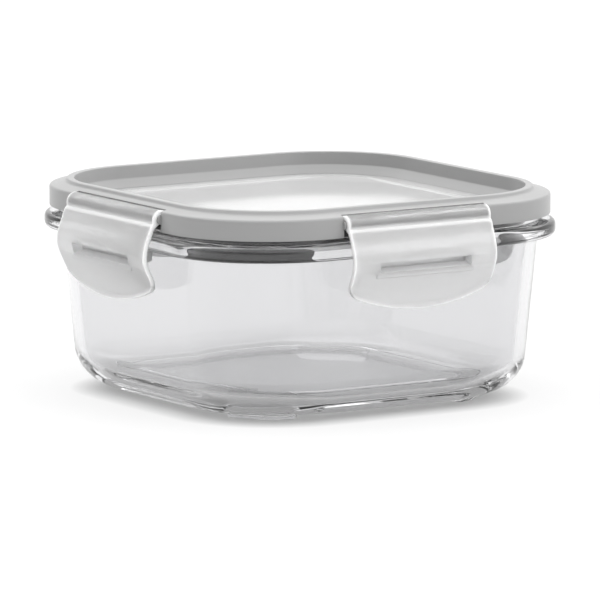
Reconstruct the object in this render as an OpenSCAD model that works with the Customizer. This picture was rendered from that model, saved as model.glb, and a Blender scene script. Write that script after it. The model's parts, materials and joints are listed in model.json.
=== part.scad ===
// Square glass food container with a four-latch lid.
// +Z is up, the origin is the centre of the footprint on the table, and every length is in millimetres.
// Most pieces run round the square on the same corner centres, so their corners stay concentric.
// "Half size" below means the distance from the vertical axis to a flat side.

/* [Overall] */
// Width of the lid across two flat sides
lid_w = 155; // [145:1:200]
// Radius of the lid's outer corners, seen from above
lid_corner_r = 41.3; // [36:0.1:44]
// Height of the underside of the glass flange above the table
flange_z = 60; // [50:0.5:90]

/* [Glass bowl] */
// Thickness of the glass wall
wall_t = 3.6; // [2.8:0.1:4]
// Thickness of the glass floor
floor_t = 5; // [3:0.1:8]
// Angle by which the wall leans outwards
wall_draft = 5.55; // [2:0.05:7]
// How far the flange stands out past the lid
flange_out = 1.9; // [1:0.1:2.2]
// Thickness of the flange
flange_t = 5.6; // [4:0.1:6.2]
// Radius on the flange's outer edges
flange_edge_r = 2.4; // [1:0.1:2.6]
// How far the flange stands out past the wall just under it
flange_reach = 6.5; // [5.5:0.1:7]
// Height of the sealing lip above the flange
lip_h = 1.7; // [1:0.1:2]
// Half size of the flat underside
base_half = 59.2; // [50:0.1:62]
// Corner radius of the flat underside
base_corner_r = 40.1; // [34:0.1:42]
// Height of the round between the underside and the wall
fillet_h = 15; // [10:0.5:20]
// How far the inside floor's edge is in from the underside's edge
floor_inset = 1; // [0.5:0.1:3]

/* [Feet] */
// Height of the feet
foot_h = 2; // [1:0.1:3]
// Width of each foot across its band
foot_w = 9; // [6:0.1:11]
// Distance from the underside's edge to the middle of the band
foot_inset = 5.1; // [5:0.1:8]
// Half of the angle that each foot covers about its corner
foot_half_angle = 13.5; // [8:0.5:18]
// Round on the lower edge of the feet
foot_edge = 0.6; // [0.3:0.1:0.9]

/* [Lid frame] */
// Gap between the flange and the bottom of the lid's skirt
skirt_gap = 2.1; // [1.5:0.1:3]
// Height of the skirt
skirt_h = 7.5; // [7:0.1:9]
// Thickness of the skirt
skirt_t = 1.9; // [1.4:0.1:2.2]
// Rise of the lid's border from the skirt to the ridge
border_rise = 1.3; // [0.8:0.1:1.6]
// Distance from the lid's side to the foot of the ridge
border_w = 4.9; // [4.6:0.1:5.4]
// Height of the ridge above the border
ridge_h = 1.3; // [0.8:0.1:2.5]
// Width of the flat top of the ridge
ridge_top_w = 2.6; // [2:0.1:3]
// Corner radius at the foot of the ridge
ridge_corner_r = 39; // [36:0.1:42]
// Depth of the recess in the middle of the lid, from the ridge's top to the window
recess_depth = 7.8; // [6:0.1:8]
// Height and width of the slope round the window
window_slope = 3; // [2:0.1:3.4]
// Thickness of the plug wall that stands inside the glass
plug_t = 1.6; // [1.2:0.1:2]
// How far the plug wall reaches down past the glass lip's top
plug_depth = 3.5; // [2:0.1:5]
// How far the four corner tabs of the plug reach down past the glass lip's top
tab_depth = 7; // [6:0.1:12]
// Half of the angle that each corner tab covers
tab_half_angle = 43; // [20:1:44]

/* [Window] */
// Thickness of the clear window
window_t = 1.8; // [1.2:0.1:2.4]
// Width of the ledge that carries the window
ledge_w = 3.2; // [2.5:0.1:5]
// Half size of the sunk panel in the window
panel_half = 58.5; // [50:0.5:60]
// Corner radius of the sunk panel
panel_corner_r = 14; // [8:0.5:30]
// Depth of the sunk panel
panel_depth = 0.6; // [0.3:0.1:0.9]

/* [Gasket] */
// Width of the silicone gasket
gasket_w = 2; // [1.6:0.1:2.2]
// Height of the silicone gasket
gasket_h = 2.2; // [1.8:0.1:2.6]

/* [Latches] */
// Width of each latch along the lid's side
latch_w = 60; // [45:0.5:62]
// Length of a latch from its hinge's axis to its lowest point
latch_drop = 31.3; // [29:0.1:36]
// Thickness of the latch's flap
flap_t = 1.8; // [1.4:0.1:2]
// How far the flap stands out past the lid beside the hinge and at its lower end
flap_out = 3.1; // [2.9:0.1:3.3]
// Height of the flap's bulge over the flange
bulge_out = 4.2; // [4:0.1:6]
// Length of the bulge, measured down from the hinge's axis
bulge_h = 26.5; // [26:0.5:29]
// Radius of the flap's curved lower edge
edge_r = 73; // [60:1:120]
// Radius at the flap's lower corners
flap_corner_r = 6; // [3:0.5:8]
// Width of the hook under the flange
hook_w = 41; // [25:0.5:44]
// How far the hook reaches in past the flange's edge
hook_reach = 4.2; // [3:0.1:4.6]
// Height of the hook at the flap
hook_h = 6.5; // [5:0.1:7]
// Wall left round the pocket behind the hook
hook_wall = 1.2; // [1:0.1:1.5]

/* [Hinges] */
// Distance from the lid's side to the hinge's axis
hinge_inset = 0.4; // [0.3:0.1:0.5]
// Radius of the hinge bar
bar_r = 1.7; // [1.3:0.05:1.8]
// Running clearance of the bar in its knuckle, on the radius
bar_clear = 0.06; // [0.02:0.01:0.1]
// Clearance between pieces that move past each other
clearance = 0.3; // [0.3:0.05:0.35]

/* [Hidden] */

$fn = 96;
over = 0.5;          // overlap between the shapes that make up one solid
far = 20;            // reach of a cut that runs out of the part
corner_steps = 12;   // facets in a quarter turn of the drafted bowl
fillet_steps = 8;    // rings in the round at the foot of the bowl

// Plan
lid_half = lid_w / 2;
corner = lid_half - lid_corner_r;
flange_half = lid_half + flange_out;
wall_top_half = flange_half - flange_reach;
lip_half = wall_top_half + 0.4;
base_corner = base_half - base_corner_r;

// Heights
floor_z = foot_h + floor_t;
fillet_top_z = foot_h + fillet_h;
flange_top_z = flange_z + flange_t;
lip_top_z = flange_top_z + lip_h;
skirt_z = flange_top_z + skirt_gap;
border_z = skirt_z + skirt_h;
ridge_foot_z = border_z + border_rise;
ridge_top_z = ridge_foot_z + ridge_h;
window_z = ridge_top_z - recess_depth;
window_low_z = window_z - window_t;
gasket_top_z = lip_top_z + gasket_h;

// Lid section, as half sizes from outside to inside
ridge_half = lid_half - border_w;
ridge_corner = ridge_half - ridge_corner_r;
ridge_slope = 0.6;                              // lean of both sides of the ridge
crest_half = ridge_half - ridge_slope - ridge_top_w;
crease_half = crest_half - ridge_slope;
window_half = crease_half - window_slope;
plug_half = wall_top_half - wall_t + draft_out(lip_top_z - plug_depth - flange_z) - clearance;
gasket_half = plug_half + 1 + gasket_w;
roof_t = 1.5;                                   // plate over the gasket
roof_z = gasket_top_z + roof_t;                 // top of that plate
border_t = 1.6;                                 // plate between the skirt and the ridge
rib_half = lip_half - 0.1;                      // outer face of the rib outside the gasket
tab_z = lip_top_z - tab_depth;
tab_out = wall_half(tab_z) - wall_t - clearance;

// Hinge
hinge_half = lid_half - hinge_inset;
knuckle_r = hinge_inset + flap_out;
hinge_z = border_z + 0.5 - knuckle_r;           // the knuckle's top lies level with the border
notch_w = latch_w + 2 * clearance;
cheek_t = 2;                                    // wall that carries each end of the bar
lip_back = 2;                                   // how far the lid's edge stays back from the axis

function draft_out(h) = h * tan(wall_draft);
function wall_half(z) = wall_top_half + draft_out(z - flange_z);

// ---------- shared shapes ----------

// Rounded square of the bowl: half size, distance of the corner centres, height
function ring_points(half, centre, z) = [
    for (q = [0:3], i = [0:corner_steps])
        let (turn = 90 * (q + i / corner_steps), at = 90 * q + 45)
        [
            centre * sqrt(2) * cos(at) + (half - centre) * cos(turn),
            centre * sqrt(2) * sin(at) + (half - centre) * sin(turn),
            z
        ]
];

// Rings from the foot of the bowl to its mouth: a quarter ellipse, then the straight wall
function bowl_rings(z0, half0, centre0, inset, z_top) = concat(
    [
        for (i = [0:fillet_steps])
            let (t = 90 * i / fillet_steps, s = sin(t), z = z0 + (fillet_top_z - z0) * (1 - cos(t)))
            ring_points(
                half0 + (wall_half(fillet_top_z) - inset - half0) * s,
                centre0 + (corner - centre0) * s,
                z
            )
    ],
    [ring_points(wall_half(z_top) - inset, corner, z_top)]
);

// Solid with a skin over a list of rings
module skin(rings) {
    n = len(rings[0]);
    m = len(rings);
    polyhedron(
        points = [for (r = rings) each r],
        faces = concat(
            [[for (i = [0:n - 1]) i]],
            [for (k = [0:m - 2], i = [0:n - 1])
                let (a = k * n + i, b = k * n + (i + 1) % n)
                [a, a + n, b + n, b]],
            [[for (i = [n - 1:-1:0]) (m - 1) * n + i]]
        )
    );
}

// Sweeps a section (x = half size, y = height) round the square
module around(centre) {
    for (turn = [0:90:270]) rotate(turn) {
        translate([0, centre, 0]) rotate([90, 0, 0]) linear_extrude(2 * centre) children();
        translate([centre, centre, 0])
            rotate_extrude(angle = 90) translate([-centre, 0]) children();
    }
}

// Flat plate with round corners
module plate(half, corner_r, z0, z1) {
    inner = half - corner_r;
    translate([0, 0, z0]) linear_extrude(z1 - z0) {
        square([2 * half, 2 * inner], center = true);
        square([2 * inner, 2 * half], center = true);
        for (x = [-inner, inner], y = [-inner, inner]) translate([x, y]) circle(corner_r);
    }
}

// Rectangle with round outer corners, for sections: x0 is the inner end
module nosed_2d(x0, x1, z0, z1, r) {
    translate([x0, z0]) square([x1 - r - x0, z1 - z0]);
    translate([x0, z0 + r]) square([x1 - x0, z1 - z0 - 2 * r]);
    for (z = [z0 + r, z1 - r]) translate([x1 - r, z]) circle(r, $fn = 32);
}

// Extrudes a section of the +X side along that side, about its middle
module along_side(width) {
    translate([0, width / 2, 0]) rotate([90, 0, 0]) linear_extrude(width) children();
}

// ---------- glass bowl ----------

module foot() {
    band_r = base_corner_r - foot_inset;
    half = foot_w / 2;
    translate([base_corner, base_corner, 0]) {
        rotate(45 - foot_half_angle) rotate_extrude(angle = 2 * foot_half_angle)
            polygon([
                [band_r - half + foot_edge, 0], [band_r + half - foot_edge, 0],
                [band_r + half, foot_edge], [band_r + half, foot_h + over],
                [band_r - half, foot_h + over], [band_r - half, foot_edge]
            ]);
        for (turn = [45 - foot_half_angle, 45 + foot_half_angle]) rotate(turn)
            translate([band_r, 0, 0]) {
                cylinder(h = foot_edge, r1 = half - foot_edge, r2 = half);
                translate([0, 0, foot_edge]) cylinder(h = foot_h + over - foot_edge, r = half);
            }
    }
}

module glass_base() {
    root = wall_top_half - wall_t / 2;
    color("lightcyan", 0.4) {
        difference() {
            union() {
                skin(bowl_rings(foot_h, base_half, base_corner, 0, flange_z + over));
                around(corner) {
                    nosed_2d(root, flange_half, flange_z, flange_top_z, flange_edge_r);
                    translate([root, flange_top_z - over])
                        square([lip_half - root, lip_h + over]);
                }
            }
            skin(bowl_rings(floor_z, base_half - floor_inset, base_corner, wall_t, lip_top_z + over));
        }
        for (turn = [0:90:270]) rotate(turn) foot();
    }
}

// ---------- lid ----------

// Skirt, border, plate over the gasket, and the walls on both sides of the gasket
module lid_edge_2d() {
    round = 0.8;
    polygon([
        [lid_half, skirt_z], [lid_half, border_z - round],
        [lid_half - round, border_z + border_rise * round / border_w],
        [ridge_half - over, ridge_foot_z], [ridge_half - over, ridge_foot_z - border_t],
        [lid_half - skirt_t, border_z - border_t], [lid_half - skirt_t, skirt_z]
    ]);
    polygon([
        [plug_half - plug_t, roof_z], [plug_half - plug_t, lip_top_z - plug_depth],
        [plug_half, lip_top_z - plug_depth], [plug_half, lip_top_z + clearance],
        [gasket_half - gasket_w, lip_top_z + clearance], [gasket_half - gasket_w, gasket_top_z],
        [gasket_half, gasket_top_z], [gasket_half, lip_top_z + clearance],
        [rib_half, lip_top_z + clearance], [rib_half, roof_z]
    ]);
}

// Ridge, sloping border of the window and the ledge under it
module lid_ridge_2d() {
    ledge_half = window_half - ledge_w;
    plug_in = plug_half - plug_t / 4;
    polygon([
        [ridge_half, ridge_foot_z - over], [ridge_half, ridge_foot_z],
        [ridge_half - ridge_slope, ridge_top_z], [crest_half, ridge_top_z],
        [crease_half, window_z + window_slope], [window_half, window_z],
        [window_half, window_low_z], [ledge_half, window_low_z],
        [ledge_half, window_low_z - roof_t], [plug_in, window_low_z - roof_t],
        [plug_in, roof_z - over], [ridge_half, roof_z - over]
    ]);
}

// Space that a latch needs in the lid's edge
module notch_2d() {
    reach = knuckle_r + clearance;
    translate([hinge_half, hinge_z]) circle(reach);
    translate([lip_half, skirt_z - far]) square([far, hinge_z - skirt_z + far]);
    translate([hinge_half - lip_back, hinge_z]) square([far, far]);
}

module hinge_bar(length) {
    along_side(length) translate([hinge_half, hinge_z]) circle(bar_r);
}

// Curved tab under the plug wall in one corner, which guides the lid into the bowl
module corner_tab() {
    inner = plug_half - plug_t + 0.2 - corner;
    translate([corner, corner]) rotate(45 - tab_half_angle) rotate_extrude(angle = 2 * tab_half_angle)
        translate([inner, tab_z]) square([tab_out - corner - inner, tab_depth - plug_depth + over]);
}

module lid_frame() {
    cheek_y = notch_w / 2;
    color("silver") {
        difference() {
            union() {
                around(corner) lid_edge_2d();
                around(ridge_corner) lid_ridge_2d();
                for (turn = [0:90:270]) rotate(turn) corner_tab();
                for (turn = [0:90:270], side = [0, 1]) rotate(turn) mirror([0, side, 0])
                    translate([rib_half - over, cheek_y, gasket_top_z])
                        cube([lid_half - skirt_t / 2 - rib_half + over, cheek_t,
                              border_z - border_t / 2 - gasket_top_z]);
            }
            for (turn = [0:90:270]) rotate(turn) along_side(notch_w) notch_2d();
        }
        for (turn = [0:90:270]) rotate(turn) {
            hinge_bar(notch_w);
            intersection() {
                hinge_bar(notch_w + cheek_t);
                cube(2 * [lid_half, lid_half, lid_w], center = true);
            }
        }
    }
}

module lid_window() {
    panel_z = window_z - panel_depth;
    color("white", 0.35) difference() {
        plate(window_half, window_half - ridge_corner, window_low_z, window_z);
        plate(panel_half, panel_corner_r, panel_z, window_z + over);
    }
}

module rim_gasket() {
    color("gainsboro") around(corner)
        translate([gasket_half - gasket_w, lip_top_z]) square([gasket_w, gasket_h]);
}

// ---------- latches ----------

// Outer face of the flap: its distance outside the lid at a depth below the hinge's axis
function flap_face(d) = flap_out + (d < bulge_h ? bulge_out * pow(sin(180 * d / bulge_h), 2) : 0);

// Side view of the flap and the hook
module flap_2d() {
    step = 0.75;
    depths = [for (d = [0:step:latch_drop]) d, latch_drop];
    last = len(depths) - 1;
    polygon(concat(
        [for (d = depths) [lid_half + flap_face(d), hinge_z - d]],
        [for (i = [last:-1:0]) [lid_half + flap_face(depths[i]) - flap_t, hinge_z - depths[i]]]
    ));
}

// Side view of the hook, or of the pocket in it when inset by the wall
module hook_2d(wall, outer) {
    top = flange_z - clearance - wall;
    tip = flange_half - hook_reach + wall;
    polygon([
        [tip, top], [tip, top - hook_h / 2 + wall], [outer, top - hook_h + 2 * wall], [outer, top]
    ]);
}

// Front view of the flap, its lower edge a wide arc between two round corners
module flap_outline_2d() {
    half = latch_w / 2;
    low_z = hinge_z - latch_drop;
    centre_z = low_z + edge_r;
    side = half - flap_corner_r;
    corner_z = centre_z - sqrt(pow(edge_r - flap_corner_r, 2) - pow(side, 2));
    meet = side * edge_r / (edge_r - flap_corner_r);
    top_z = hinge_z + knuckle_r + over;
    translate([-half, corner_z]) square([latch_w, top_z - corner_z]);
    intersection() {
        translate([0, centre_z]) circle(edge_r, $fn = 180);
        translate([-meet, low_z - over]) square([2 * meet, corner_z - low_z + 2 * over]);
    }
    for (x = [-side, side]) translate([x, corner_z]) circle(flap_corner_r);
}

module latch() {
    hook_root = lid_half + flap_out + bulge_out - flap_t / 2;
    open_from = 180;     // the knuckle is open from straight back ...
    open_to = 300;       // ... to below the bar, so that it snaps on
    color("whitesmoke", 0.6) difference() {
        union() {
            intersection() {
                along_side(latch_w) flap_2d();
                rotate([90, 0, 90]) linear_extrude(2 * lid_w) flap_outline_2d();
            }
            along_side(latch_w) translate([hinge_half, hinge_z]) difference() {
                circle(knuckle_r);
                polygon(concat([[0, 0]], [for (a = [open_from:30:open_to])
                    2 * knuckle_r * [cos(a), sin(a)]]));
            }
            along_side(hook_w) hook_2d(0, hook_root);
        }
        along_side(latch_w + over) translate([hinge_half, hinge_z]) circle(bar_r + bar_clear);
        along_side(hook_w - 2 * hook_wall) hook_2d(hook_wall, hook_root + far);
    }
}

module latch_right() { rotate(0) latch(); }
module latch_back() { rotate(90) latch(); }
module latch_left() { rotate(180) latch(); }
module latch_front() { rotate(270) latch(); }

glass_base();
lid_frame();
lid_window();
rim_gasket();
latch_front();
latch_right();
latch_back();
latch_left();
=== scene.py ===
"""Square glass food container with a snap lid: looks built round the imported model.

Every length in the classes is in millimetres; metres() turns it into Blender's unit. The bowl, the lid's
frame, its window and its gasket all run round a square with round corners, so one Geometry Nodes tree skins
a section round that square. A section is a list of stops, each with its half size (the distance from the
vertical axis to a flat side), its height, and how far the centres of its corners lie from the axis.
"""

import json
import logging
import math
from dataclasses import InitVar, dataclass, field
from enum import Enum
from typing import Any

import bmesh
import bpy
from mathutils import Matrix, Vector

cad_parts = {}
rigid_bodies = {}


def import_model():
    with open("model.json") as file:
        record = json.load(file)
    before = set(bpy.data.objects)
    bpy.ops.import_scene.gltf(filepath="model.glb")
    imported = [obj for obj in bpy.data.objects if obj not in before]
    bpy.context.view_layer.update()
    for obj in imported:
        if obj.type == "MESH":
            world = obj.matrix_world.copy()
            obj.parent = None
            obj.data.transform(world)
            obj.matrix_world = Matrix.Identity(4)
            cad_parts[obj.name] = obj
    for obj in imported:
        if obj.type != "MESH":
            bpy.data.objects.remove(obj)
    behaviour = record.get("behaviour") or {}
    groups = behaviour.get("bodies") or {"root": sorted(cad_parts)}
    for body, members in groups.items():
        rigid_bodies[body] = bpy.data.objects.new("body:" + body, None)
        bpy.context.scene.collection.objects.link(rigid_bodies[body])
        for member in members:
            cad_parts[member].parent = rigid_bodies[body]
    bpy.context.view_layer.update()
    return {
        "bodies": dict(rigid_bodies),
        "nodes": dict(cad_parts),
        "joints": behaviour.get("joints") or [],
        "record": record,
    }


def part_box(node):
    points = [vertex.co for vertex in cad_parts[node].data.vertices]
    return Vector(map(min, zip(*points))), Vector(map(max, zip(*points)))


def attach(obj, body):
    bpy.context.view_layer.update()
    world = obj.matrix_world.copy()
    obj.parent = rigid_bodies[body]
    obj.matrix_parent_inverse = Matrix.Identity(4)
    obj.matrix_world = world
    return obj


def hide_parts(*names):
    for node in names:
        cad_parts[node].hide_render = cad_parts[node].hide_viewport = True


LOG = logging.getLogger("container")
MM = 0.001
CORNER_STEPS = 28
SIDE_STEPS = 6

Section = list[Vector]
Outline = list[tuple[float, float]]


def metres(value: float) -> float:
    """Millimetres in metres."""
    return value * MM


def linear(code: str) -> tuple[float, float, float, float]:
    """Linear colour of an sRGB hex code.

    Args:
        code: six hex digits, such as "c8c8c8".

    Returns:
        Red, green, blue and an alpha of 1.
    """
    found = []
    for start in (0, 2, 4):
        value = int(code[start : start + 2], 16) / 255
        found.append(value / 12.92 if value <= 0.04045 else ((value + 0.055) / 1.055) ** 2.4)
    return (*found, 1.0)


def put(tree: bpy.types.NodeTree, kind: str, links: dict[Any, Any] | None = None, **settings: Any) -> Any:
    """Adds a node to a tree.

    Args:
        tree: the tree.
        kind: the node's type.
        links: for each input, by name or number, the socket that feeds it or its value.
        settings: the node's own properties.

    Returns:
        The node.
    """
    node = tree.nodes.new(kind)
    for name, value in settings.items():
        setattr(node, name, value)
    for key, value in (links or {}).items():
        if isinstance(value, bpy.types.NodeSocket):
            tree.links.new(value, node.inputs[key])
        else:
            node.inputs[key].default_value = value
    return node


# ---------- finishes ----------


@dataclass(frozen=True)
class Finish:
    """What all finishes share: a name, a record slot, the main shader values and a fine unevenness.

    The ripple is a bump of the surface and the grain a change of its roughness. Either is left out at 0 mm.
    """

    name: str
    slot: str
    colour: str
    roughness: float
    ior: float
    transmission: float = 0.0
    ripple_mm: float = 0.0
    ripple_height_mm: float = 0.0
    ripple_detail: float = 1.0
    grain_mm: float = 0.0
    grain_detail: float = 3.0
    roughness_spread: float = 0.0

    def make(self) -> bpy.types.Material:
        """The finish as a Blender material."""
        material = bpy.data.materials.new(self.name)
        material.use_nodes = True
        tree = material.node_tree
        tree.nodes.clear()
        shader = put(
            tree,
            "ShaderNodeBsdfPrincipled",
            {
                "Base Color": linear(self.colour),
                "Roughness": self.roughness,
                "IOR": self.ior,
                "Transmission Weight": self.transmission,
            },
        )
        place = put(tree, "ShaderNodeTexCoord").outputs["Object"]
        if self.grain_mm:
            self.add_grain(tree, shader, place)
        if self.ripple_mm:
            self.add_ripple(tree, shader, place)
        self.add_own(tree, shader)
        put(tree, "ShaderNodeOutputMaterial", {"Surface": shader.outputs[0]})
        return material

    def noise(
        self, tree: bpy.types.NodeTree, place: bpy.types.NodeSocket, size_mm: float, detail: float
    ) -> bpy.types.NodeSocket:
        """Noise from 0 to 1 whose patches are about this size."""
        links = {"Vector": place, "Scale": 1 / metres(size_mm), "Detail": detail}
        return put(tree, "ShaderNodeTexNoise", links).outputs["Fac"]

    def add_grain(
        self, tree: bpy.types.NodeTree, shader: bpy.types.Node, place: bpy.types.NodeSocket
    ) -> None:
        """Makes the roughness a little uneven."""
        grain = self.noise(tree, place, self.grain_mm, self.grain_detail)
        low, high = self.roughness - self.roughness_spread, self.roughness + self.roughness_spread
        spread = put(tree, "ShaderNodeMapRange", {"Value": grain, "To Min": low, "To Max": high})
        tree.links.new(spread.outputs[0], shader.inputs["Roughness"])

    def add_ripple(
        self, tree: bpy.types.NodeTree, shader: bpy.types.Node, place: bpy.types.NodeSocket
    ) -> None:
        """Makes the surface faintly wavy."""
        ripple = self.noise(tree, place, self.ripple_mm, self.ripple_detail)
        links = {"Height": ripple, "Strength": 1.0, "Distance": metres(self.ripple_height_mm)}
        tree.links.new(put(tree, "ShaderNodeBump", links).outputs[0], shader.inputs["Normal"])

    def add_own(self, tree: bpy.types.NodeTree, shader: bpy.types.Node) -> None:
        """Adds what only one kind of finish has, which is nothing here."""


@dataclass(frozen=True)
class OpaqueFinish(Finish):
    """A finish with painted shade: its colour goes nearly black deep inside a gap, where little light comes
    in.
    """

    gap_mm: float = 10.0
    painted_gap_shade_colour: str = "101010"
    gap_shut: float = 0.25
    gap_open: float = 0.5
    gap_samples: int = 8

    def add_own(self, tree: bpy.types.NodeTree, shader: bpy.types.Node) -> None:
        """Paints shade into the colour: darkens it where the surface is shut in."""
        around = put(
            tree, "ShaderNodeAmbientOcclusion", {"Distance": metres(self.gap_mm)}, samples=self.gap_samples
        )
        links = {"Value": around.outputs["AO"], "From Min": self.gap_shut, "From Max": self.gap_open}
        share = put(tree, "ShaderNodeMapRange", links).outputs[0]
        # Painted shade: the colour mixes towards near-black where ambient occlusion finds the surface shut
        # in.
        links = {"Factor": share, 6: linear(self.painted_gap_shade_colour), 7: linear(self.colour)}
        tint = put(tree, "ShaderNodeMix", links, data_type="RGBA")
        tree.links.new(tint.outputs[2], shader.inputs["Base Color"])


@dataclass(frozen=True)
class MilkyFinish(Finish):
    """A see-through finish that scatters light inside, with a painted highlight that makes it white along a
    flap's edge and crease.

    The edge is found from the attribute "front_view", and the attribute "white" says how white a point is.
    """

    scatter_mm: float = 3.0
    painted_highlight_edge_mm: float = 1.2
    flap_half_mm: float = 30.0
    flap_radius_mm: float = 73.0

    def add_own(self, tree: bpy.types.NodeTree, shader: bpy.types.Node) -> None:
        """Scatters light inside, and lets less of it straight through near the edge and the crease, as a
        painted highlight.
        """

        def calc(operation: str, *values: Any) -> bpy.types.NodeSocket:
            """The result of one sum in the tree."""
            return put(tree, "ShaderNodeMath", dict(enumerate(values)), operation=operation).outputs[0]

        shader.inputs["Subsurface Weight"].default_value = 1.0
        shader.inputs["Subsurface Radius"].default_value = (1.0, 1.0, 1.0)
        shader.inputs["Subsurface Scale"].default_value = metres(self.scatter_mm)
        view = put(tree, "ShaderNodeAttribute", attribute_name="front_view").outputs["Vector"]
        across = put(tree, "ShaderNodeSeparateXYZ", {0: view}).outputs[0]
        far = put(tree, "ShaderNodeVectorMath", {0: view}, operation="LENGTH").outputs["Value"]
        # Painted highlight: transmission falls to 0 at the flap's edge, so the edge scatters white.
        from_side = calc("SUBTRACT", metres(self.flap_half_mm), calc("ABSOLUTE", across))
        from_below = calc("SUBTRACT", metres(self.flap_radius_mm), far)
        links = {
            "Value": calc("MINIMUM", from_side, from_below),
            "From Max": metres(self.painted_highlight_edge_mm),
            "To Max": self.transmission,
        }
        body = put(tree, "ShaderNodeMapRange", links).outputs[0]
        white = put(tree, "ShaderNodeAttribute", attribute_name="white").outputs["Fac"]
        clear = calc("MULTIPLY", body, calc("SUBTRACT", 1.0, white))
        tree.links.new(clear, shader.inputs["Transmission Weight"])


class Finishes(Enum):
    """The finishes of the object's own pieces."""

    # Borosilicate glass, pressed in a mould: clear, with a faint waviness that bends what is seen through it.
    PRESSED_GLASS = Finish(
        "pressed borosilicate glass", "glass", "ebebec", 0.0, 1.47, 1.0,
        ripple_mm=22.0, ripple_height_mm=0.02,
    )
    # Light grey polypropylene, injection moulded: an even soft gloss that a very fine grain breaks up.
    # Painted shade darkens its colour deep in gaps.
    GREY_PLASTIC = OpaqueFinish(
        "moulded grey polypropylene", "grey_plastic", "979797", 0.3, 1.49,
        grain_mm=1.2, roughness_spread=0.05, ripple_mm=0.9, ripple_height_mm=0.002, gap_mm=12.0,
    )
    # Clear copolyester, injection moulded: glossy, a little hazy, uneven from shrinking in the mould.
    CLEAR_PLASTIC = Finish(
        "moulded clear copolyester", "clear_plastic", "f3f3f3", 0.1, 1.54, 0.58,
        ripple_mm=30.0, ripple_height_mm=0.03,
    )
    # Silicone rubber, pressed and cured: dark grey, matt, soft at its edges. Its dark grey is painted shade
    # for the shaded gap under the lid's skirt, and painted shade darkens it further deep in gaps.
    SILICONE = OpaqueFinish(
        "cured silicone rubber", "silicone", "484848", 0.5, 1.41,
        grain_mm=1.0, roughness_spread=0.06, gap_mm=9.0,
    )
    # Natural polypropylene, injection moulded: milky and see-through, because it scatters light as it passes.
    # Its flap's edge and crease are whiter, a painted highlight.
    MILKY_PLASTIC = MilkyFinish(
        "natural translucent polypropylene", "frosted_plastic", "fdfdfd", 0.34, 1.45, 0.6,
        grain_mm=0.8, roughness_spread=0.03, ripple_mm=9.0, ripple_height_mm=0.004,
    )


# ---------- shared shapes ----------


def stop(half: float, height: float, centre: float) -> Vector:
    """One point of a section: half size, height and distance of the corner centres, in millimetres."""
    return Vector((half, height, centre))


def rounded(stops: list[tuple[Vector, float]], closed: bool, steps: int = 6) -> Section:
    """A section with its corners rounded.

    Args:
        stops: each stop with the length that its round takes off both of its sides, or 0 for a sharp one.
        closed: whether the last stop joins the first.
        steps: how many pieces each round has.

    Returns:
        The section's points in order.
    """
    points: Section = []
    count = len(stops)
    for i, (here, cut) in enumerate(stops):
        if not cut or (not closed and i in (0, count - 1)):
            points.append(here.copy())
            continue
        back = stops[i - 1][0] - here
        ahead = stops[(i + 1) % count][0] - here
        start = here + back.normalized() * cut
        end = here + ahead.normalized() * cut
        for k in range(steps + 1):
            t = k / steps
            points.append(start * (1 - t) ** 2 + here * 2 * t * (1 - t) + end * t**2)
    return points


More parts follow.
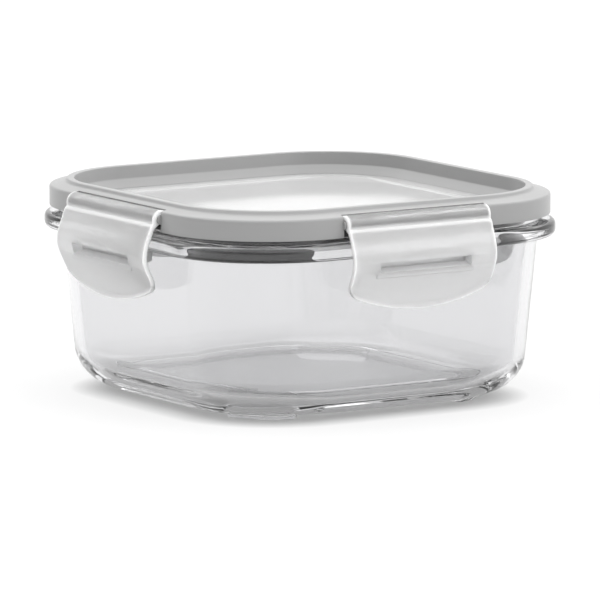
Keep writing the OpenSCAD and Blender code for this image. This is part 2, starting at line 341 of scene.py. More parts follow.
def skin_tree() -> bpy.types.NodeTree:
    """The Geometry Nodes tree that skins a section round a square with round corners.

    The object's own points are the section: X is the half size, Y the height and Z the distance of the
    corner centres. The tree makes a grid, one row for each point of the section, and puts each of its
    points on that row's rounded square.

    Returns:
        The tree.
    """
    tree = bpy.data.node_groups.new("round square skin", "GeometryNodeTree")
    face = tree.interface
    face.new_socket("Section", in_out="INPUT", socket_type="NodeSocketGeometry")
    for name, least in (("Corner Steps", 2), ("Side Steps", 1), ("Wrap", 0)):
        face.new_socket(name, in_out="INPUT", socket_type="NodeSocketInt").min_value = least
    face.new_socket("Material", in_out="INPUT", socket_type="NodeSocketMaterial")
    face.new_socket("Skin", in_out="OUTPUT", socket_type="NodeSocketGeometry")
    given = put(tree, "NodeGroupInput").outputs

    def calc(operation: str, *values: Any) -> bpy.types.NodeSocket:
        """The result of one sum in the tree."""
        return put(tree, "ShaderNodeMath", dict(enumerate(values)), operation=operation).outputs[0]

    size = put(tree, "GeometryNodeAttributeDomainSize", {"Geometry": given["Section"]})
    count = size.outputs["Point Count"]
    side = calc("ADD", given["Corner Steps"], given["Side Steps"])
    around = calc("ADD", calc("MULTIPLY", side, 4.0), 1.0)
    rows = calc("ADD", count, given["Wrap"])
    grid = put(tree, "GeometryNodeMeshGrid", {"Vertices X": rows, "Vertices Y": around})

    index = put(tree, "GeometryNodeInputIndex").outputs[0]
    row = calc("MODULO", calc("FLOOR", calc("DIVIDE", calc("ADD", index, 0.5), around)), count)
    along = calc("MODULO", index, around)
    quarter = calc("FLOOR", calc("DIVIDE", calc("ADD", along, 0.5), side))
    past = calc("SUBTRACT", along, calc("MULTIPLY", quarter, side))
    bend = calc("MINIMUM", calc("DIVIDE", past, given["Corner Steps"]), 1.0)
    slide = calc("MAXIMUM", calc("SUBTRACT", past, given["Corner Steps"]), 0.0)
    share = calc("DIVIDE", slide, given["Side Steps"])

    point = put(
        tree,
        "GeometryNodeSampleIndex",
        {
            "Geometry": given["Section"],
            "Value": put(tree, "GeometryNodeInputPosition").outputs[0],
            "Index": row,
        },
        data_type="FLOAT_VECTOR",
    )
    half, height, centre = put(tree, "ShaderNodeSeparateXYZ", {0: point.outputs[0]}).outputs
    radius = calc("SUBTRACT", half, centre)
    turn = calc("MULTIPLY", calc("ADD", quarter, bend), math.pi / 2)
    first = calc("MULTIPLY", calc("ADD", quarter, 0.5), math.pi / 2)
    places = []
    for wave in ("COSINE", "SINE"):
        here = calc("MULTIPLY", calc(wave, first), math.sqrt(2))
        there = calc("MULTIPLY", calc(wave, calc("ADD", first, math.pi / 2)), math.sqrt(2))
        corner = calc("ADD", here, calc("MULTIPLY", calc("SUBTRACT", there, here), share))
        bend_out = calc("MULTIPLY", calc(wave, turn), radius)
        places.append(calc("ADD", calc("MULTIPLY", corner, centre), bend_out))
    place = put(tree, "ShaderNodeCombineXYZ", {0: places[0], 1: places[1], 2: height}).outputs[0]

    moved = put(tree, "GeometryNodeSetPosition", {"Geometry": grid.outputs["Mesh"], "Position": place})
    links = {"Geometry": moved.outputs[0], "Distance": metres(0.004)}
    merged = put(tree, "GeometryNodeMergeByDistance", links)
    smooth = put(tree, "GeometryNodeSetShadeSmooth", {"Geometry": merged.outputs[0]})
    real = put(tree, "GeometryNodeRealizeInstances", {"Geometry": smooth.outputs[0]})
    dressed = put(
        tree, "GeometryNodeSetMaterial", {"Geometry": real.outputs[0], "Material": given["Material"]}
    )
    put(tree, "NodeGroupOutput", {0: dressed.outputs[0]})
    return tree


def link(name: str, mesh: bpy.types.Mesh) -> bpy.types.Object:
    """A new object in the scene that shows a mesh."""
    made = bpy.data.objects.new(name, mesh)
    bpy.context.scene.collection.objects.link(made)
    return made


def settle(piece: bpy.types.Object) -> None:
    """Applies a piece's modifiers, so that only a plain mesh is left."""
    graph = bpy.context.evaluated_depsgraph_get()
    mesh = bpy.data.meshes.new_from_object(piece.evaluated_get(graph), depsgraph=graph)
    mesh.name = piece.name
    piece.modifiers.clear()
    piece.data = mesh


def face_outwards(mesh: bpy.types.Mesh) -> None:
    """Turns a closed mesh's faces so that they all point outwards."""
    work = bmesh.new()
    work.from_mesh(mesh)
    bmesh.ops.dissolve_degenerate(work, dist=metres(0.001), edges=work.edges)
    bmesh.ops.recalc_face_normals(work, faces=work.faces)
    if work.calc_volume(signed=True) < 0:
        bmesh.ops.reverse_faces(work, faces=work.faces)
    work.to_mesh(mesh)
    work.free()


def skin(
    name: str, section: Section, closed: bool, tree: bpy.types.NodeTree, material: bpy.types.Material
) -> bpy.types.Object:
    """Skins a section round the square.

    Args:
        name: the piece's name.
        section: its points, in millimetres.
        closed: whether the section is a loop. An open one starts and ends on the vertical axis.
        tree: the tree from skin_tree.
        material: the piece's material.

    Returns:
        The piece, as a plain closed mesh.
    """
    mesh = bpy.data.meshes.new(name)
    mesh.from_pydata([p * MM for p in section], [], [])
    piece = link(name, mesh)
    modifier = piece.modifiers.new("skin", "NODES")
    modifier.node_group = tree
    steps = {"Corner Steps": CORNER_STEPS, "Side Steps": SIDE_STEPS}
    values = {**steps, "Wrap": int(closed), "Material": material}
    for item in tree.interface.items_tree:
        if item.item_type == "SOCKET" and item.in_out == "INPUT" and item.name in values:
            modifier[item.identifier] = values[item.name]
    settle(piece)
    face_outwards(piece.data)
    return piece


def loft(name: str, rings: list[list[tuple[float, float, float]]]) -> bpy.types.Object:
    """A closed solid through rings of points.

    Args:
        name: the solid's name.
        rings: the rings in order, each with the same number of points, in millimetres.

    Returns:
        The solid.
    """
    work = bmesh.new()
    made = [[work.verts.new([metres(length) for length in point]) for point in ring] for ring in rings]
    work.faces.new(made[0])
    work.faces.new(made[-1])
    for lower, upper in zip(made, made[1:]):
        for i in range(len(lower)):
            j = (i + 1) % len(lower)
            work.faces.new((lower[i], lower[j], upper[j], upper[i]))
    bmesh.ops.recalc_face_normals(work, faces=work.faces)
    mesh = bpy.data.meshes.new(name)
    work.to_mesh(mesh)
    work.free()
    return link(name, mesh)


def prism(name: str, outline: Outline, low: float, high: float) -> bpy.types.Object:
    """A straight bar with this outline in X and Z, from Y low to Y high, in millimetres."""
    return loft(name, [[(x, y, z) for x, z in outline] for y in (low, high)])


def turned(source: bpy.types.Object, name: str, quarter: int) -> bpy.types.Object:
    """A copy of an object, turned by quarter turns about the vertical axis in its own mesh."""
    mesh = source.data.copy()
    mesh.transform(Matrix.Rotation(quarter * math.pi / 2, 4, "Z"))
    return link(name, mesh)


class Cut(Enum):
    """How one solid changes another."""

    TAKE = "DIFFERENCE"
    ADD = "UNION"
    KEEP = "INTERSECT"


def combine(piece: bpy.types.Object, tool: bpy.types.Object, how: Cut) -> None:
    """Changes a piece by another solid, which is used up."""
    modifier = piece.modifiers.new("combine", "BOOLEAN")
    modifier.operation = how.value
    modifier.object = tool
    modifier.solver = "MANIFOLD"
    settle(piece)
    bpy.data.objects.remove(tool)


def soften(piece: bpy.types.Object, width: float, angle: float) -> None:
    """Rounds a piece's sharp edges.

    Args:
        piece: the piece.
        width: the round's width in millimetres.
        angle: edges sharper than this many degrees are rounded.
    """
    bevel = piece.modifiers.new("round", "BEVEL")
    bevel.width = metres(width)
    bevel.segments = 3
    bevel.limit_method = "ANGLE"
    bevel.angle_limit = math.radians(angle)
    bevel.use_clamp_overlap = True
    settle(piece)


def shade(piece: bpy.types.Object, angle: float) -> None:
    """Shades a piece smoothly, but for edges sharper than this many degrees."""
    mesh = piece.data
    mesh.polygons.foreach_set("use_smooth", [True] * len(mesh.polygons))
    mesh.set_sharp_from_angle(angle=math.radians(angle))


def dress(piece: bpy.types.Object, material: bpy.types.Material) -> None:
    """Gives a piece its one material."""
    piece.data.materials.clear()
    piece.data.materials.append(material)


def circle(x: float, z: float, radius: float, start: float, end: float, steps: int) -> Outline:
    """Points on an arc about (x, z), between two angles in degrees."""
    angles = [math.radians(start + (end - start) * k / steps) for k in range(steps + 1)]
    return [(x + radius * math.cos(a), z + radius * math.sin(a)) for a in angles]


@dataclass
class Plan:
    """Sizes that the pieces share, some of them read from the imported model, in millimetres."""

    joints: InitVar[list[dict[str, Any]]]
    lid_half: float = 77.5
    corner: float = 36.2
    latch_half: float = 30.0
    knuckle: float = 3.5
    bar: float = 1.7
    clearance: float = 0.3
    flange_half: float = field(init=False)
    lip_top: float = field(init=False)
    hinge_half: float = field(init=False)
    hinge_height: float = field(init=False)

    def __post_init__(self, joints: list[dict[str, Any]]) -> None:
        """Reads the flange, the lip and the hinge from the model.

        Args:
            joints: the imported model's joints.
        """
        _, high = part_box("glass_base")
        self.flange_half = high.x / MM
        self.lip_top = high.z / MM
        hinge = next(joint for joint in joints if joint["name"] == "latch_right_hinge")
        self.hinge_half = hinge["pos_m"][0] / MM
        self.hinge_height = hinge["pos_m"][2] / MM


# ---------- bowl ----------


@dataclass
class Bowl:
    """The pressed glass bowl: its drafted wall, its flange, the lip above it and four feet."""

    plan: Plan
    foot: float = 2.0
    floor: float = 5.0
    wall: float = 3.6
    draft: float = 5.55
    base_half: float = 59.2
    base_corner: float = 19.1
    round_height: float = 15.0
    flange: float = 5.6
    flange_reach: float = 6.5
    flange_round: float = 2.3
    lip: float = 1.7
    lip_out: float = 0.4
    floor_inset: float = 1.0
    groove_half: float = 52.5
    groove_corner: float = 35.0
    groove_depth: float = 0.7
    panel_half: float = 47.0
    panel_corner: float = 33.0
    panel_rise: float = 1.9
    foot_band: float = 35.0
    foot_width: float = 9.0
    foot_angle: float = 13.5
    foot_edge: float = 0.8
    foot_overlap: float = 0.6
    foot_steps: int = 16
    foot_cap_steps: int = 12
    round_end: float = 81.4
    round_steps: int = 18

    def wall_half(self, height: float) -> float:
        """Half size of the wall's outer face at a height."""
        flange_low = self.plan.lip_top - self.lip - self.flange
        top_half = self.plan.flange_half - self.flange_reach
        return top_half + (height - flange_low) * math.tan(math.radians(self.draft))

    def bottom_round(self, low: float, half: float, inset: float) -> Section:
        """The round between a floor and the wall, as points from the floor up.

        Args:
            low: height of the floor.
            half: half size of the flat floor.
            inset: how far the wall's face lies in from the outer face.

        Returns:
            The points.
        """
        last = math.radians(self.round_end)
        rise = self.foot + self.round_height - low
        top = low + rise * (1 - math.cos(last))
        reach = (self.wall_half(top) - inset - half) / math.sin(last)
        growth = (self.plan.corner - self.base_corner) / math.sin(last)
        found = []
        for k in range(self.round_steps + 1):
            t = last * k / self.round_steps
            centre = self.base_corner + growth * math.sin(t)
            found.append(stop(half + reach * math.sin(t), low + rise * (1 - math.cos(t)), centre))
        return found

    def section(self) -> Section:
        """The bowl's section, from the middle of the underside to the middle of the inside floor."""
        corner = self.plan.corner
        lip_top = self.plan.lip_top
        flange_top = lip_top - self.lip
        flange_low = flange_top - self.flange
        lip_half = self.plan.flange_half - self.flange_reach + self.lip_out
        inside_half = self.wall_half(lip_top) - self.wall
        inside_floor = self.foot + self.floor
        low = self.bottom_round(self.foot, self.base_half, 0.0)
        inside = self.bottom_round(inside_floor, self.base_half - self.floor_inset, self.wall)
        rim = [
            (low[-1], 0.0),
            (stop(self.wall_half(flange_low), flange_low, corner), 1.0),
            (stop(self.plan.flange_half, flange_low, corner), self.flange_round),
            (stop(self.plan.flange_half, flange_top, corner), self.flange_round),
            (stop(lip_half, flange_top, corner), 0.5),
            (stop(lip_half, lip_top, corner), 0.6),
            (stop(inside_half, lip_top, corner), 0.8),
            (inside[-1], 0.0),
        ]
        panel, rise, lean = self.panel_half, self.foot + self.panel_rise, self.panel_rise / 5
        middle = [
            stop(0.0, rise, 0.0),
            stop(panel / 2, rise, self.panel_corner / 2),
            stop(panel - lean, rise, self.panel_corner),
            stop(panel, self.foot, self.panel_corner),
        ]
        groove, dip = self.groove_half, self.groove_depth
        inside_middle = [
            stop(groove + dip / 2, inside_floor, self.groove_corner),
            stop(groove, inside_floor - dip, self.groove_corner),
            stop(groove - dip / 2, inside_floor, self.groove_corner),
            stop(self.base_half / 2, inside_floor, self.base_corner / 2),
            stop(0.0, inside_floor, 0.0),
        ]
        return middle + low[:-1] + rounded(rim, closed=False) + inside[-2::-1] + inside_middle

    def foot_solid(self) -> bpy.types.Object:
        """One kidney-shaped foot under the corner at +X and +Y, with a round lower edge."""
        edge = self.foot_edge
        levels = [(0.0, edge), (edge * 0.3, edge * 0.3), (edge, 0.0), (self.foot + self.foot_overlap, 0.0)]
        middle = math.radians(45)
        swing = math.radians(self.foot_angle)
        half = self.foot_width / 2
        rings = []
        for height, inset in levels:
            r = half - inset
            ring = []
            for sign in (1, -1):
                side = self.foot_band + sign * r
                for k in range(self.foot_steps + 1):
                    a = middle + swing * sign * (2 * k / self.foot_steps - 1)
                    ring.append((side * math.cos(a), side * math.sin(a)))
                end = middle + swing * sign
                cx, cy = self.foot_band * math.cos(end), self.foot_band * math.sin(end)
                for k in range(1, self.foot_cap_steps):
                    a = end + (0 if sign > 0 else math.pi) + math.pi * k / self.foot_cap_steps
                    ring.append((cx + r * math.cos(a), cy + r * math.sin(a)))
            rings.append([(self.base_corner + x, self.base_corner + y, height) for x, y in ring])
        return loft("foot", rings)

    def build(self, tree: bpy.types.NodeTree) -> bpy.types.Object:
        """The glass bowl, on the body base."""
        finish = Finishes.PRESSED_GLASS.value
        material = finish.make()
        bowl = skin("pressed_glass_bowl", self.section(), False, tree, material)
        foot = self.foot_solid()
        for quarter in range(4):
            combine(bowl, turned(foot, "foot_copy", quarter), Cut.ADD)
        bpy.data.objects.remove(foot)
        shade(bowl, 35)
        dress(bowl, material)
        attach(bowl, "base")
        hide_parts("glass_base")
        return bowl


# ---------- lid ----------


@dataclass
class Lid:
    """The lid: its grey frame with four hinge bars, the clear window and the gasket."""

    plan: Plan
    skirt_low: float = 67.7
    skirt: float = 1.9
    border_height: float = 75.2
    border_rise: float = 1.3
    border: float = 1.6
    ridge_half: float = 72.6
    ridge_corner: float = 33.6
    ridge_height: float = 1.3
    ridge_lean: float = 0.6
    ridge_top: float = 2.6
    slope: float = 3.0
    window_height: float = 70.0
    window: float = 1.8
    ledge: float = 3.2
    roof: float = 1.5
    plug: float = 1.6
    plug_depth: float = 3.5
    gasket_height: float = 2.2
    gasket_width: float = 2.0
    panel_half: float = 58.5
    panel_corner: float = 44.5
    panel_depth: float = 0.6
    panel_lean: float = 0.5
    lip_groove: float = 0.5
    lip_back: float = 2.0
    cheek: float = 2.0
    tab_depth: float = 7.0
    tab_angle: float = 43.0
    tab_inset: float = 0.35
    tab_bite: float = 0.2
    tab_root: float = 0.5
    tab_least: float = 0.6
    tab_steps: int = 24
    tab_ease: int = 4
    rib_inset: float = 6.2
    rib_skin: float = 0.1
    cheek_root: float = 0.5
    bar_root: float = 0.4
    plug_gap: float = 1.0
    notch_reach: float = 12.0
    notch_half: float = field(init=False)
    gasket_half: float = field(init=False)
    plug_half: float = field(init=False)

    def __post_init__(self) -> None:
        """Reads the gasket's size from the model."""
        _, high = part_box("rim_gasket")
        self.gasket_half = high.x / MM
        self.plug_half = self.gasket_half - self.gasket_width - self.plug_gap
        self.notch_half = self.plan.latch_half + self.plan.clearance

    def frame_section(self) -> Section:
        """The frame's section as one loop, from the skirt's lower edge over the top and back."""
        corner, ridge = self.plan.corner, self.ridge_corner
        lid_half, lip_top = self.plan.lid_half, self.plan.lip_top
        ridge_foot = self.border_height + self.border_rise
        ridge_top = ridge_foot + self.ridge_height
        crest_out = self.ridge_half - self.ridge_lean
        crest_in = crest_out - self.ridge_top
        crease = crest_in - self.ridge_lean
        window_half = crease - self.slope
        window_low = self.window_height - self.window
        gasket_top = lip_top + self.gasket_height
        rib_half = self.plan.flange_half - self.rib_inset
        plug_in = self.plug_half - self.plug
        inner_low = lip_top + self.plan.clearance
        under = ridge_foot - self.border
        return rounded(
            [
                (stop(lid_half, self.skirt_low, corner), 0.35),
                (stop(lid_half, self.border_height, corner), 0.9),
                (stop(self.ridge_half, ridge_foot, ridge), 0.5),
                (stop(crest_out, ridge_top, ridge), 0.45),
                (stop(crest_in, ridge_top, ridge), 0.45),
                (stop(crease, self.window_height + self.slope, ridge), 0.4),
                (stop(window_half, self.window_height, ridge), 0.1),
                (stop(window_half, window_low, ridge), 0.0),
                (stop(window_half - self.ledge, window_low, ridge), 0.3),
                (stop(window_half - self.ledge, window_low - self.roof, ridge), 0.4),
                (stop(plug_in, window_low - self.roof, corner), 0.4),
                (stop(plug_in, lip_top - self.plug_depth, corner), 0.4),
                (stop(self.plug_half, lip_top - self.plug_depth, corner), 0.5),
                (stop(self.plug_half, inner_low, corner), 0.2),
                (stop(self.gasket_half - self.gasket_width, inner_low, corner), 0.2),
                (stop(self.gasket_half - self.gasket_width, gasket_top, corner), 0.0),
                (stop(self.gasket_half, gasket_top, corner), 0.0),
                (stop(self.gasket_half, inner_low, corner), 0.2),
                (stop(rib_half, inner_low, corner), 0.2),
                (stop(rib_half, under, corner), 0.4),
                (stop(lid_half - self.skirt, self.border_height - self.border, corner), 0.4),
                (stop(lid_half - self.skirt, self.skirt_low, corner), 0.35),
            ],
            closed=True,
        )

    def notch(self) -> bpy.types.Object:
        """The space that a latch takes out of the frame on the +X side."""
        reach = self.plan.knuckle + self.plan.clearance / 2
        x, z = self.plan.hinge_half, self.plan.hinge_height
        far = self.notch_reach
        rib_half = self.plan.flange_half - self.rib_inset + self.rib_skin
        back = x - self.lip_back
        touch = math.degrees(math.acos(-self.lip_back / reach))
        outline = [(x + far, z - far), (x + far, z + far), (back, z + far)]
        outline += circle(x, z, reach, touch, 180, 14)
        outline += [(rib_half, z), (rib_half, z - far)]
        return prism("notch", outline, -self.notch_half, self.notch_half)

    def cheek_solid(self, side: int) -> bpy.types.Object:
        """The wall at one end of a notch that carries the hinge bar's end."""
        low = self.plan.lip_top + self.gasket_height
        high = self.border_height - self.border / 2
        inner = self.plan.flange_half - self.rib_inset - self.cheek_root
        outer = self.plan.lid_half - self.skirt / 2
        ends = sorted((side * self.notch_half, side * (self.notch_half + self.cheek)))
        return prism("cheek", [(inner, low), (outer, low), (outer, high), (inner, high)], *ends)

    def tab_solid(self) -> bpy.types.Object:
        """The curved tab under the plug wall at the corner at +X and +Y, which guides the lid in."""
        centre = self.plan.corner
        outer = self.plug_half - self.tab_inset - centre
        inner = self.plug_half - self.plug + self.tab_bite - centre
        top = self.plan.lip_top - self.plug_depth + self.tab_root
        tip = top - self.tab_least
        low = self.plan.lip_top - self.tab_depth
        columns = []
        for k in range(self.tab_steps + 1):
            angle = math.radians(45 + self.tab_angle * (2 * k / self.tab_steps - 1))
            end = min(1.0, min(k, self.tab_steps - k) / self.tab_ease)
            foot = tip - (tip - low) * math.sqrt(1 - (1 - end) ** 2)
            across, up = math.cos(angle), math.sin(angle)
            stops = ((inner, top), (outer, top), (outer, foot), (inner, foot))
            columns.append([(centre + r * across, centre + r * up, z) for r, z in stops])
        return loft("tab", columns)

    def build_frame(self, tree: bpy.types.NodeTree) -> bpy.types.Object:
        """The grey frame, on the body lid."""
        finish = Finishes.GREY_PLASTIC.value
        material = finish.make()
        frame = skin("lid_frame_shell", self.frame_section(), True, tree, material)
        notch = self.notch()
        cheeks = [self.cheek_solid(side) for side in (-1, 1)]
        bar_ring = circle(self.plan.hinge_half, self.plan.hinge_height, self.plan.bar, 0, 345, 23)
        bar_end = self.notch_half + self.bar_root
        bar = prism("bar", bar_ring, -bar_end, bar_end)
        tab = self.tab_solid()
        for quarter in range(4):
            combine(frame, turned(tab, "tab_copy", quarter), Cut.ADD)
            for cheek in cheeks:
                combine(frame, turned(cheek, "cheek_copy", quarter), Cut.ADD)
            combine(frame, turned(notch, "notch_copy", quarter), Cut.TAKE)
        soften(frame, 0.3, 50)
        for quarter in range(4):
            combine(frame, turned(bar, "bar_copy", quarter), Cut.ADD)
        for tool in (notch, bar, tab, *cheeks):
            bpy.data.objects.remove(tool)
        shade(frame, 32)
        dress(frame, material)
        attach(frame, "lid")
        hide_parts("lid_frame")
        return frame

    def build_window(self, tree: bpy.types.NodeTree) -> bpy.types.Object:
        """The clear window with its sunk panel, on the body lid."""
        finish = Finishes.CLEAR_PLASTIC.value
        material = finish.make()
        low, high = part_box("lid_window")
        half = high.x / MM
        bottom, top = low.z / MM, high.z / MM
        ridge, panel = self.ridge_corner, self.panel_corner
        section = rounded(
            [
                (stop(0.0, bottom, 0.0), 0.0),
                (stop(half / 2, bottom, ridge / 2), 0.0),
                (stop(half, bottom, ridge), 0.1),
                (stop(half, top, ridge), 0.1),
                (stop(self.panel_half, top, panel), 0.4),
                (stop(self.panel_half - self.panel_lean, top - self.panel_depth, panel), 0.4),
                (stop(self.panel_half / 2, top - self.panel_depth, panel / 2), 0.0),
                (stop(0.0, top - self.panel_depth, 0.0), 0.0),
            ],
            closed=False,
        )
        window = skin("clear_window", section, False, tree, material)
        shade(window, 35)
        dress(window, material)
        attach(window, "lid")
        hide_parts("lid_window")
        return window

    def build_gasket(self, tree: bpy.types.NodeTree) -> bpy.types.Object:
        """The silicone gasket, on the body lid: two soft lips below a square back."""
        finish = Finishes.SILICONE.value
        material = finish.make()
        low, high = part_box("rim_gasket")
        bottom, top = low.z / MM, high.z / MM
        outer, inner = self.gasket_half, self.gasket_half - self.gasket_width
        middle, corner = (outer + inner) / 2, self.plan.corner
        section = rounded(
            [
                (stop(inner, top, corner), 0.1),
                (stop(inner, bottom, corner), 0.4),
                (stop(middle, bottom, corner), 0.1),
                (stop(middle, bottom + self.lip_groove, corner), 0.1),
                (stop(middle + 0.1, bottom, corner), 0.1),
                (stop(outer, bottom, corner), 0.4),
                (stop(outer, top, corner), 0.1),
            ],
            closed=True,
        )
        gasket = skin("silicone_gasket", section, True, tree, material)
        shade(gasket, 35)
        dress(gasket, material)
        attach(gasket, "lid")
        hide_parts("rim_gasket")
        return gasket


# ---------- latches ----------


@dataclass
class Latch:
    """One latch: a knuckle that wraps the hinge bar, a bulging flap and a hook under the flange."""

    plan: Plan
    drop: float = 31.3
    flap: float = 1.8
    flap_out: float = 3.1
    bulge: float = 4.2
    bulge_height: float = 26.5
    crease: float = 1.3
    crease_band: float = 1.0
    crease_lead: float = 0.1
    crease_painted_highlight: float = 0.6
    knuckle_white: float = -0.37
    step_share: float = 0.2
    step_height: float = 0.9
    lower_edge: float = 73.0
    corner: float = 6.0
    bore: float = 1.76
    hook_width: float = 41.0
    hook_height: float = 6.5
    hook_reach: float = 4.2
    hook_wall: float = 1.2
    pocket_floor: float = 5.2
    pocket_reach: float = 4.0
    pocket_flare: float = 0.6
    outline_step: float = 0.6
    flange_low: float = 60.0

    def face(self, depth: float) -> float:
        """How far the flap's outer face stands out past the lid, at a depth below the hinge's axis."""
        middle = self.bulge_height / 2
        if depth <= self.crease or depth >= self.bulge_height:
            return self.flap_out
        if depth < middle:
            past = depth - self.crease
            step = self.step_share * min(1.0, past / self.step_height)
            share = step + (1 - step) * math.sin(math.pi / 2 * past / (middle - self.crease)) ** 1.5
        else:
            share = math.sin(math.pi * depth / self.bulge_height) ** 2
        return self.flap_out + self.bulge * share

    def side_outline(self) -> Outline:
        """The latch seen from its side: knuckle, flap, and back up the flap's inner face."""
        x, z = self.plan.hinge_half, self.plan.hinge_height
        lid = self.plan.lid_half
        count = int((self.drop - self.crease) / self.outline_step)
        depths = [self.crease + self.outline_step * k for k in range(count)] + [self.drop]
        outline = circle(x, z, self.plan.knuckle, 180, 0, 24)
        outline += [(lid + self.face(d), z - d) for d in depths]
        end = self.plan.knuckle * math.sin(math.radians(60))
        outline += [(lid + self.face(d) - self.flap, z - d) for d in reversed(depths) if d > end - 0.3]
        outline += circle(x, z, self.bore, -60, 180, 24)
        return outline

    def front_outline(self) -> Outline:
        """The latch seen from its front: straight sides, round corners and a wide arc below."""
        half, z = self.plan.latch_half, self.plan.hinge_height
        centre = z - self.drop + self.lower_edge
        side = half - self.corner
        reach = self.lower_edge - self.corner
        corner_height = centre - math.sqrt(reach**2 - side**2)
        swing = math.degrees(math.asin(side / reach))
        outline = [(-half, z + 8), *circle(-side, corner_height, self.corner, 180, 270 - swing, 8)]
        outline += circle(0, centre, self.lower_edge, 270 - swing, 270 + swing, 40)[1:-1]
        outline += [*circle(side, corner_height, self.corner, 270 + swing, 360, 8), (half, z + 8)]
        return outline

    def hook_outline(self, wall: float, back: float, outer: float, flare: float) -> Outline:
        """The hook from its side, or the pocket in it when wall is its wall.

        Args:
            wall: how far the outline's top and bottom lie inside the hook's own.
            back: how far its inner end lies out from the hook's tip.
            outer: half size of its outer end.
            flare: how much taller the outer end is, above and below.

        Returns:
            The outline.
        """
        top = self.flange_low - self.plan.clearance - wall
        tip = self.plan.flange_half - self.hook_reach + back
        return [
            (tip, top),
            (tip, top - self.hook_height / 2 + wall),
            (outer, top - self.hook_height + 2 * wall - flare),
            (outer, top + flare),
        ]

    def solid(self) -> bpy.types.Object:
        """The latch of the +X side."""
        half = self.plan.latch_half
        latch = prism("latch", self.side_outline(), -half - 1, half + 1)
        front = prism("front", self.front_outline(), 40.0, 120.0)
        front.data.transform(Matrix(((0, 1, 0, 0), (1, 0, 0, 0), (0, 0, 1, 0), (0, 0, 0, 1))))
        face_outwards(front.data)
        combine(latch, front, Cut.KEEP)
        root = self.plan.lid_half + self.flap_out + self.bulge - self.flap / 2
        hook = prism("hook", self.hook_outline(0, 0, root, 0), -self.hook_width / 2, self.hook_width / 2)
        combine(latch, hook, Cut.ADD)
        inner = self.hook_width / 2 - self.hook_wall
        mouth = root + self.pocket_reach
        outline = self.hook_outline(self.hook_wall, self.pocket_floor, mouth, self.pocket_flare)
        pocket = prism("pocket", outline, -inner, inner)
        combine(latch, pocket, Cut.TAKE)
        soften(latch, 0.4, 40)
        shade(latch, 30)
        self.mark_rim(latch)
        return latch

    def mark_rim(self, latch: bpy.types.Object) -> None:
        """Stores what the finish needs at each point: its place in the front view and how white it is.

        The crease is whiter than the rest, a painted highlight, and the knuckle above it is clearer, which is
        a white below 0.

        Args:
            latch: the latch of the +X side.
        """
        centre = self.plan.hinge_height - self.drop + self.lower_edge
        outside = self.plan.lid_half + self.flap_out - self.flap / 2
        attributes = latch.data.attributes
        attributes.new("front_view", "FLOAT_VECTOR", "POINT")
        attributes.new("white", "FLOAT", "POINT")
        # Adding an attribute moves the ones before it, so both are looked up once both are there.
        view, white = attributes["front_view"], attributes["white"]
        for vertex, place, share in zip(latch.data.vertices, view.data, white.data):
            place.vector = (vertex.co.y, vertex.co.z - metres(centre), 0.0)
            past = self.plan.hinge_height - vertex.co.z / MM - self.crease
            # Painted highlight: the points along the crease are marked whiter.
            if vertex.co.x / MM > outside and -self.crease_lead < past < self.crease_band:
                share.value = self.crease_painted_highlight
            elif past < 0:
                share.value = self.knuckle_white

    def build_all(self) -> list[bpy.types.Object]:
        """The four latches, each on its own body."""
        finish = Finishes.MILKY_PLASTIC.value
        material = finish.make()
        made = []
        master = self.solid()
        for quarter, side in enumerate(("right", "back", "left", "front")):
            latch = turned(master, f"snap_latch_{side}", quarter)
            dress(latch, material)
            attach(latch, f"latch_{side}")
            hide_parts(f"latch_{side}")
            made.append(latch)
        bpy.data.objects.remove(master)
        return made


# ---------- studio ----------


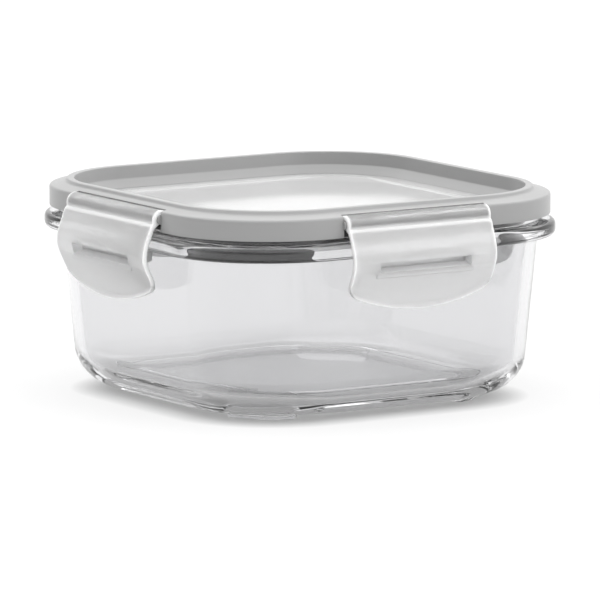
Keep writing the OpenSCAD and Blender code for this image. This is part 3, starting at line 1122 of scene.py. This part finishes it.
@dataclass
class Studio:
    """The pale floor, the soft light and the camera."""

    azimuth: float = -32.457
    elevation: float = 8.404
    distance: float = 2744.6
    target: tuple[float, float, float] = (0.324, -0.206, 33.63)
    lens: float = 451.07
    sensor: float = 36.0
    floor_reach: float = 9000.0
    floor_colour: str = "808080"
    floor_glow: float = 0.72
    shadow_reach: float = 9.0
    shadow_share: float = 0.4
    room_light: float = 0.02
    top_light: float = 2.0
    top_edge: tuple[float, float] = (0.3, 0.55)
    back_light: float = 1.04
    back_edge: tuple[float, float] = (0.25, 0.7)
    bounces: int = 24
    side_light: float = 1.3
    side_edge: tuple[float, float] = (0.3, 0.75)

    def floor(self) -> None:
        """A wide matt light table: a pale floor that also glows, with a painted shadow where its glow dims
        under a piece.
        """
        reach = metres(self.floor_reach)
        mesh = bpy.data.meshes.new("floor")
        corners = [(-reach, -reach, 0), (reach, -reach, 0), (reach, reach, 0), (-reach, reach, 0)]
        mesh.from_pydata(corners, [], [(0, 1, 2, 3)])
        floor = link("floor", mesh)
        material = bpy.data.materials.new("lit matt acrylic")
        material.use_nodes = True
        shader = material.node_tree.nodes["Principled BSDF"]
        shader.inputs["Base Color"].default_value = linear(self.floor_colour)
        shader.inputs["Roughness"].default_value = 1.0
        shader.inputs["Specular IOR Level"].default_value = 0.0
        shader.inputs["Emission Color"].default_value = (1.0, 1.0, 1.0, 1.0)
        tree = material.node_tree
        # Painted shadow: the glow dims by ambient occlusion near the pieces.
        around = put(tree, "ShaderNodeAmbientOcclusion", {"Distance": metres(self.shadow_reach)})
        glow = put(
            tree,
            "ShaderNodeMapRange",
            {
                "Value": around.outputs["AO"],
                "To Min": self.floor_glow * self.shadow_share,
                "To Max": self.floor_glow,
            },
        ).outputs[0]
        tree.links.new(glow, shader.inputs["Emission Strength"])
        mesh.materials.append(material)

    def sky(self) -> None:
        """Soft white light from above and a lit backdrop behind, with a dim room to the front and sides."""
        world = bpy.data.worlds.new("studio")
        world.use_nodes = True
        bpy.context.scene.world = world
        tree = world.node_tree
        tree.nodes.clear()
        turn = math.radians(self.azimuth)
        ahead = (-math.sin(turn), math.cos(turn), 0.0)
        way = put(tree, "ShaderNodeTexCoord").outputs["Generated"]
        up = put(tree, "ShaderNodeSeparateXYZ", {0: way}).outputs["Z"]
        back = put(tree, "ShaderNodeVectorMath", {0: way, 1: ahead}, operation="DOT_PRODUCT").outputs["Value"]
        right = (math.cos(turn), math.sin(turn), 0.0)
        side = put(tree, "ShaderNodeVectorMath", {0: way, 1: right}, operation="DOT_PRODUCT").outputs["Value"]
        zones = []
        for source, start, end, strength in (
            (up, *self.top_edge, self.top_light),
            (back, *self.back_edge, self.back_light),
            (side, *self.side_edge, self.side_light),
        ):
            zone = put(
                tree,
                "ShaderNodeMapRange",
                {
                    "Value": source,
                    "From Min": start,
                    "From Max": end,
                    "To Min": self.room_light,
                    "To Max": strength,
                },
                interpolation_type="SMOOTHSTEP",
            )
            zones.append(zone.outputs[0])
        level = zones[0]
        for zone in zones[1:]:
            level = put(tree, "ShaderNodeMath", {0: level, 1: zone}, operation="MAXIMUM").outputs[0]
        light = put(tree, "ShaderNodeBackground", {"Color": (1.0, 1.0, 1.0, 1.0), "Strength": level})
        put(tree, "ShaderNodeOutputWorld", {"Surface": light.outputs[0]})

    def camera(self) -> None:
        """The camera, far off with a long lens."""
        data = bpy.data.cameras.new("camera")
        data.lens = self.lens
        data.sensor_width = self.sensor
        data.clip_end = 50.0
        camera = bpy.data.objects.new("camera", data)
        bpy.context.scene.collection.objects.link(camera)
        turn, rise = math.radians(self.azimuth), math.radians(self.elevation)
        back = Vector((math.sin(turn) * math.cos(rise), -math.cos(turn) * math.cos(rise), math.sin(rise)))
        camera.location = (Vector(self.target) + back * self.distance) * MM
        camera.rotation_euler = back.to_track_quat("Z", "Y").to_euler()
        bpy.context.scene.camera = camera

    def build(self) -> None:
        """Sets the whole studio up."""
        self.floor()
        self.sky()
        self.camera()
        bpy.context.scene.view_settings.view_transform = "Standard"
        for limit in ("max_bounces", "transmission_bounces", "glossy_bounces"):
            setattr(bpy.context.scene.cycles, limit, self.bounces)


def main() -> None:
    """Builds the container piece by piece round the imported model."""
    logging.basicConfig(level=logging.INFO, format="%(name)s: %(message)s")
    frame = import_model()
    plan = Plan(frame["joints"])
    tree = skin_tree()
    Studio().build()
    lid = Lid(plan)
    pieces = [Bowl(plan).build(tree), lid.build_frame(tree), lid.build_window(tree), lid.build_gasket(tree)]
    pieces += Latch(plan).build_all()
    for piece in pieces:
        LOG.info("%s: %d faces", piece.name, len(piece.data.polygons))


if __name__ == "__main__":
    main()
